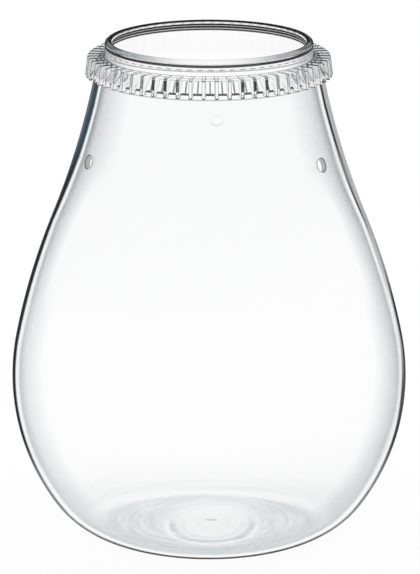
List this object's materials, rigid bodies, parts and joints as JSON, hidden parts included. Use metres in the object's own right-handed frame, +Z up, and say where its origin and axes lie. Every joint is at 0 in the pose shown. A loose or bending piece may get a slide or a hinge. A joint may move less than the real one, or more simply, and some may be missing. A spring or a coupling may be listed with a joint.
{
  "type": "aquarium plant pot",
  "caption": "Clear blown-glass pear-shaped pot with drilled shoulder holes, a rounded lip and a clear finned collar that rests on a ledge round the neck and lifts off.",
  "frame": {"origin": "centre of the foot, on the surface that the pot stands on", "axes": "+Z up along the pot's axis, -Y towards the front, with one drilled hole at the back and two towards the front at the sides"},
  "size_m": [0.15, 0.15, 0.192],
  "materials": {
    "clear_glass": "clear blown glass, fire-polished, with ground walls in the drilled holes",
    "clear_plastic": "clear glossy moulded plastic"
  },
  "bodies": {
    "vessel": {"glass_vessel": "clear_glass"},
    "collar": {"finned_collar": "clear_plastic"}
  },
  "joints": [
    {"name": "collar_lift", "type": "slide", "parent": "vessel", "child": "collar", "axis": [0, 0, 1], "range_m": [0, 0.04]}
  ]
}
